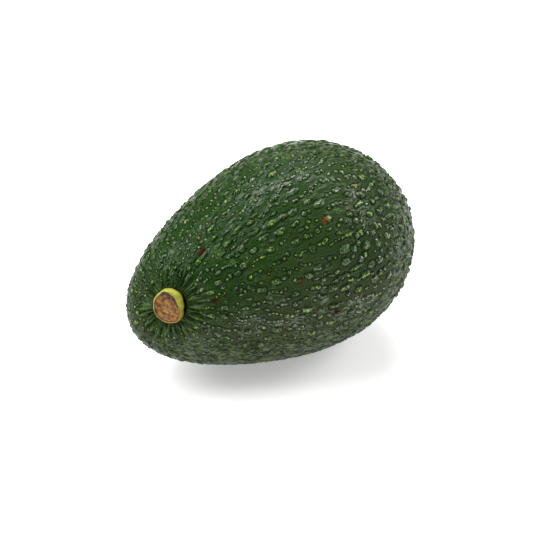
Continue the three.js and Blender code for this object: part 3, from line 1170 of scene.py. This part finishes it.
# the stem stub: a swollen collar, and a broken corky face with a pointed top
stub = {
    "segments": 144,
    "collarRadius": 5.0,
    "collarBulges": (  # angle, change, width
        (8, -0.75, 34), (308, 0.2, 40), (230, 0.2, 40), (95, 0.3, 30), (50, 0.1, 20),
        (-6, -0.18, 5), (14, 0.12, 8),
    ),
    "footShares": (0.5, 0.8),  # of the collar's radius, at the bottom of the socket
    "footHeight": -2.0,
    "footNarrower": 0.16,
    "collarHeight": 0.5,  # where the collar starts to round over
    "faceRadius": 4.25,
    "faceBulges": ((30, -0.8, 36), (106, 0.5, 20), (308, 0.35, 30), (228, 0.2, 30)),
    "faceHeight": 2.0,
    "faceDome": 0.12,
    "rimHeight": 0.22,
    "rimWidth": 0.16,
    "socketDepth": 2.2,
    "cracks": 0.2,
}


def bulgedRadius(radius, bulges, angles):
    total = np.full_like(angles, radius)
    for middle, change, width in bulges:
        turn = (np.degrees(angles) - middle + 180) % 360 - 180
        total = total + change * np.exp(-((turn / width) ** 2))
    return total + 0.05 * np.sin(7 * angles + 0.8) + 0.03 * np.sin(13 * angles)


def stubRows(angles):  # radius, height, share of face and reach, from the bottom to the face's middle
    collar = bulgedRadius(stub["collarRadius"], stub["collarBulges"], angles)
    face = bulgedRadius(stub["faceRadius"], stub["faceBulges"], angles)
    top = stub["faceHeight"] + stub["rimHeight"]
    foot, shoulder, inner = stub["footHeight"], stub["collarHeight"], face + stub["rimWidth"]
    rows = [(collar * share, -stub["socketDepth"], 0.0, 1.0) for share in stub["footShares"]]
    for share in np.linspace(0, 1, 8):
        narrower = stub["footNarrower"] * (1 - math.sin(share * math.pi / 2))
        rows.append((collar * (1 - narrower), foot + (shoulder - foot) * share, 0.0, 1.0))
    for share in np.linspace(0, 1, 15)[1:]:
        turn = share * math.pi / 2
        height = shoulder + (top - shoulder) * math.sin(turn) ** 1.15
        rows.append((inner + (collar - inner) * math.cos(turn) ** 0.9, height, 0.0, 1.0))
    rows.append((face + 0.05, top - 0.03, 0.35, 1.0))
    rows.append((face - 0.1, top - 0.16, 0.8, 1.0))
    for share in np.linspace(0.94, 0.04, 26):
        rows.append((face * share, stub["faceHeight"] + stub["faceDome"] * (1 - share), 1.0, share))
    return rows


def makeStubMesh():
    angles = np.arange(stub["segments"]) * 2 * math.pi / stub["segments"]
    rows = stubRows(angles)
    count = len(angles)
    points, shares, reaches = [(stubSeat - stubAxis * stub["socketDepth"])[None]], [0.0], [1.0]
    flat = np.cos(angles)[:, None] * stubSide + np.sin(angles)[:, None] * stubRise
    for radius, height, share, reach in rows:
        wave = np.sin(5 * angles + 2.1 * radius) * np.cos(3 * angles - 1.9 * radius)
        cracked = height + stub["cracks"] * (share == 1.0) * wave
        points.append(stubSeat + flat * radius[:, None] + stubAxis * cracked[:, None])
        shares += [share] * count
        reaches += [reach] * count
    points.append((stubSeat + stubAxis * (stub["faceHeight"] + stub["faceDome"]))[None])
    shares.append(1.0)
    reaches.append(0.0)
    faces = [(a, c, b) for a, b, c in fanFaces(0, 1, count)]
    for row in range(len(rows) - 1):
        for i in range(count):
            here, beside = 1 + row * count + i, 1 + row * count + (i + 1) % count
            faces.append((here, beside, beside + count, here + count))
    last = 1 + (len(rows) - 1) * count
    faces += fanFaces(last + count, last, count)
    mesh = makeMesh("stem_stub_finish", np.concatenate(points), faces, face=shares, faceReach=reaches)
    mesh.shade_smooth()
    return mesh


stubLook = {
    "collar": colour(151, 149, 18),
    "collarGold": colour(143, 110, 16),
    "collarGreen": colour(100, 112, 23),
    "cork": colour(146, 96, 40),
    "paleCork": colour(164, 125, 68),
    "brownCork": colour(78, 46, 19),
    # painted shade deep in the socket, and the dark pores of the face
    "pit": colour(52, 27, 12),
    "rim": colour(76, 34, 20),
    "purple": colour(44, 19, 24),
    "patches": {  # size in millimetres, detail, and where a patch starts and is full
        "green": (2.2, 3.0, 0.35, 0.65),
        "cork": (1.3, 6.0, 0.4, 0.58),
        "pale": (2.4, 4.0, 0.45, 0.65),
        "ragged": (1.1, 4.0, 0.2, 0.8),
    },
    "goldReach": (1.5, -4),  # in millimetres, down the collar
    "socketShadeReach": (0.4, -0.3),  # in millimetres, into the socket, for the painted shade there
    "middleReach": (0.55, 0.2),  # in shares of the face's radius
    "ringReach": (0.42, 0.52, 0.56, 0.68),
    "purpleReach": (0.6, 0.8),
    "pointTurn": 72,  # degrees from the right, towards the face's dark point
    "shares": {  # how strongly a colour covers what lies under it
        "green": 0.4, "pit": 0.9, "pale": 0.6, "middle": 0.7,
        "ring": 0.55, "pore": 0.75, "purple": 0.85, "rim": 0.9,
    },
    "grain": (0.35, 0.9, 0.85),
    "grainStrength": 0.9,
    "grainDistance": 0.2,
    "roughness": (0.42, 0.85),  # of the collar and of the face
}


def collarColour(tree, away, rise):
    deep = dot(tree, away, tuple(stubAxis))
    gold = remap(tree, rise, *(reach * mm for reach in stubLook["goldReach"]))
    base = tint(tree, gold, stubLook["collar"], stubLook["collarGold"])
    green = times(tree, mottled(tree, stubLook["patches"]["green"]), stubLook["shares"]["green"])
    base = tint(tree, green, base, stubLook["collarGreen"])
    # painted shade deep in the socket
    pit = remap(tree, deep, *(reach * mm for reach in stubLook["socketShadeReach"]), 0.0, stubLook["shares"]["pit"])
    return tint(tree, pit, base, stubLook["pit"])


def faceColour(tree, ragged, pores, towards):
    patches, shares = stubLook["patches"], stubLook["shares"]
    base = tint(tree, mottled(tree, patches["cork"]), stubLook["brownCork"], stubLook["cork"])
    pale = times(tree, mottled(tree, patches["pale"]), shares["pale"])
    middle = times(tree, remap(tree, ragged, *stubLook["middleReach"]), shares["middle"])
    base = tint(tree, larger(tree, pale, middle), base, stubLook["paleCork"])
    oldRing = times(tree, band(tree, ragged, *stubLook["ringReach"]), shares["ring"])
    base = tint(tree, oldRing, base, stubLook["brownCork"])
    base = tint(tree, times(tree, pores, shares["pore"]), base, stubLook["pit"])
    purple = times(tree, remap(tree, ragged, *stubLook["purpleReach"]), remap(tree, towards, 0.4, 0.85))
    return tint(tree, times(tree, purple, shares["purple"]), base, stubLook["purple"])


def makeStubMaterial():
    material, tree, shader = newMaterial("stem stub")
    coordinates = addNode(tree, "ShaderNodeTexCoord").outputs["Object"]
    away = combine(tree, "SUBTRACT", coordinates, tuple(stubSeat * mm))
    side = dot(tree, away, tuple(stubSide))
    rise = dot(tree, away, tuple(stubRise))
    around = combine(tree, "NORMALIZE", join(tree, X=side, Y=rise))
    turn = math.radians(stubLook["pointTurn"])
    towards = dot(tree, around, (math.cos(turn), math.sin(turn), 0))
    grain = grained(tree, stubLook["grain"])
    ragged = scaled(tree, mottled(tree, stubLook["patches"]["ragged"]), 0.4, -0.2)
    ragged = plus(tree, readAttribute(tree, "faceReach"), ragged)
    face = faceColour(tree, ragged, grain["Pore Mask"], towards)
    share = readAttribute(tree, "face")
    base = tint(tree, remap(tree, share, 0.45, 0.95), collarColour(tree, away, rise), face)
    rim = tint(tree, remap(tree, towards, 0.2, 0.7), stubLook["rim"], stubLook["purple"])
    nearRim = times(tree, band(tree, share, 0.1, 0.4, 0.9, 1.0), stubLook["shares"]["rim"])
    rough = remap(tree, share, 0.0, 1.0, *stubLook["roughness"])
    bump = bumped(tree, grain["Height"], stubLook["grainStrength"], stubLook["grainDistance"])
    inputs = {"Base Color": tint(tree, nearRim, base, rim), "Roughness": rough, "Normal": bump}
    setInputs(tree, shader, inputs)
    return material


def makeStub():
    mesh = makeStubMesh()
    mesh.materials.append(makeStubMaterial())
    piece = addObject("stem_stub_finish", mesh)
    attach(piece, "root")
    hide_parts("stem_stub")


makeStub()
print("stub made")


# the studio: a pale floor, an even white sky and soft lamps
studio = {
    "floorSize": 6.0,  # in metres, as are the lamps' distances and sizes
    "floorDrop": 0.1,  # millimetres under the fruit
    "sky": {"Color": (1, 1, 1, 1), "Strength": 0.3},
    "floor": {  # a light table under the fruit
        "Base Color": (0.93, 0.93, 0.93, 1),
        "Roughness": 0.9,
        "Emission Color": (1, 1, 1, 1),
        "Emission Strength": 0.34,
    },
    "lamps": (  # azimuth, elevation, distance, size, power
        (-122, 50, 1.6, 1.5, 34.0),
        (160, 56, 1.6, 1.2, 24.0),
        (72, 36, 1.6, 0.9, 16.0),
    ),
}


def makeFloor():
    mesh = bpy.data.meshes.new("floor")
    half, drop = studio["floorSize"] / 2, -studio["floorDrop"] * mm
    corners = [(-half, -half, drop), (half, -half, drop), (half, half, drop), (-half, half, drop)]
    mesh.from_pydata(corners, [], [(0, 1, 2, 3)])
    material, tree, shader = newMaterial("pale floor")
    setInputs(tree, shader, studio["floor"])
    mesh.materials.append(material)
    addObject("floor", mesh)


def makeLamp(number, azimuth, elevation, distance, size, power):
    data = bpy.data.lights.new(f"lamp {number}", "AREA")
    data.size = size
    data.energy = power
    back = backTowards(azimuth, elevation)
    aim(addObject(data.name, data), eggCentre + back * distance / mm, back)


def makeStudio():
    makeFloor()
    world = bpy.data.worlds.new("white sky")
    world.use_nodes = True
    tree = world.node_tree
    setInputs(tree, tree.nodes["Background"], studio["sky"])
    bpy.context.scene.world = world
    for number, lamp in enumerate(studio["lamps"]):
        makeLamp(number, *lamp)
    bpy.context.scene.view_settings.view_transform = "Standard"


makeStudio()
print("studio made")
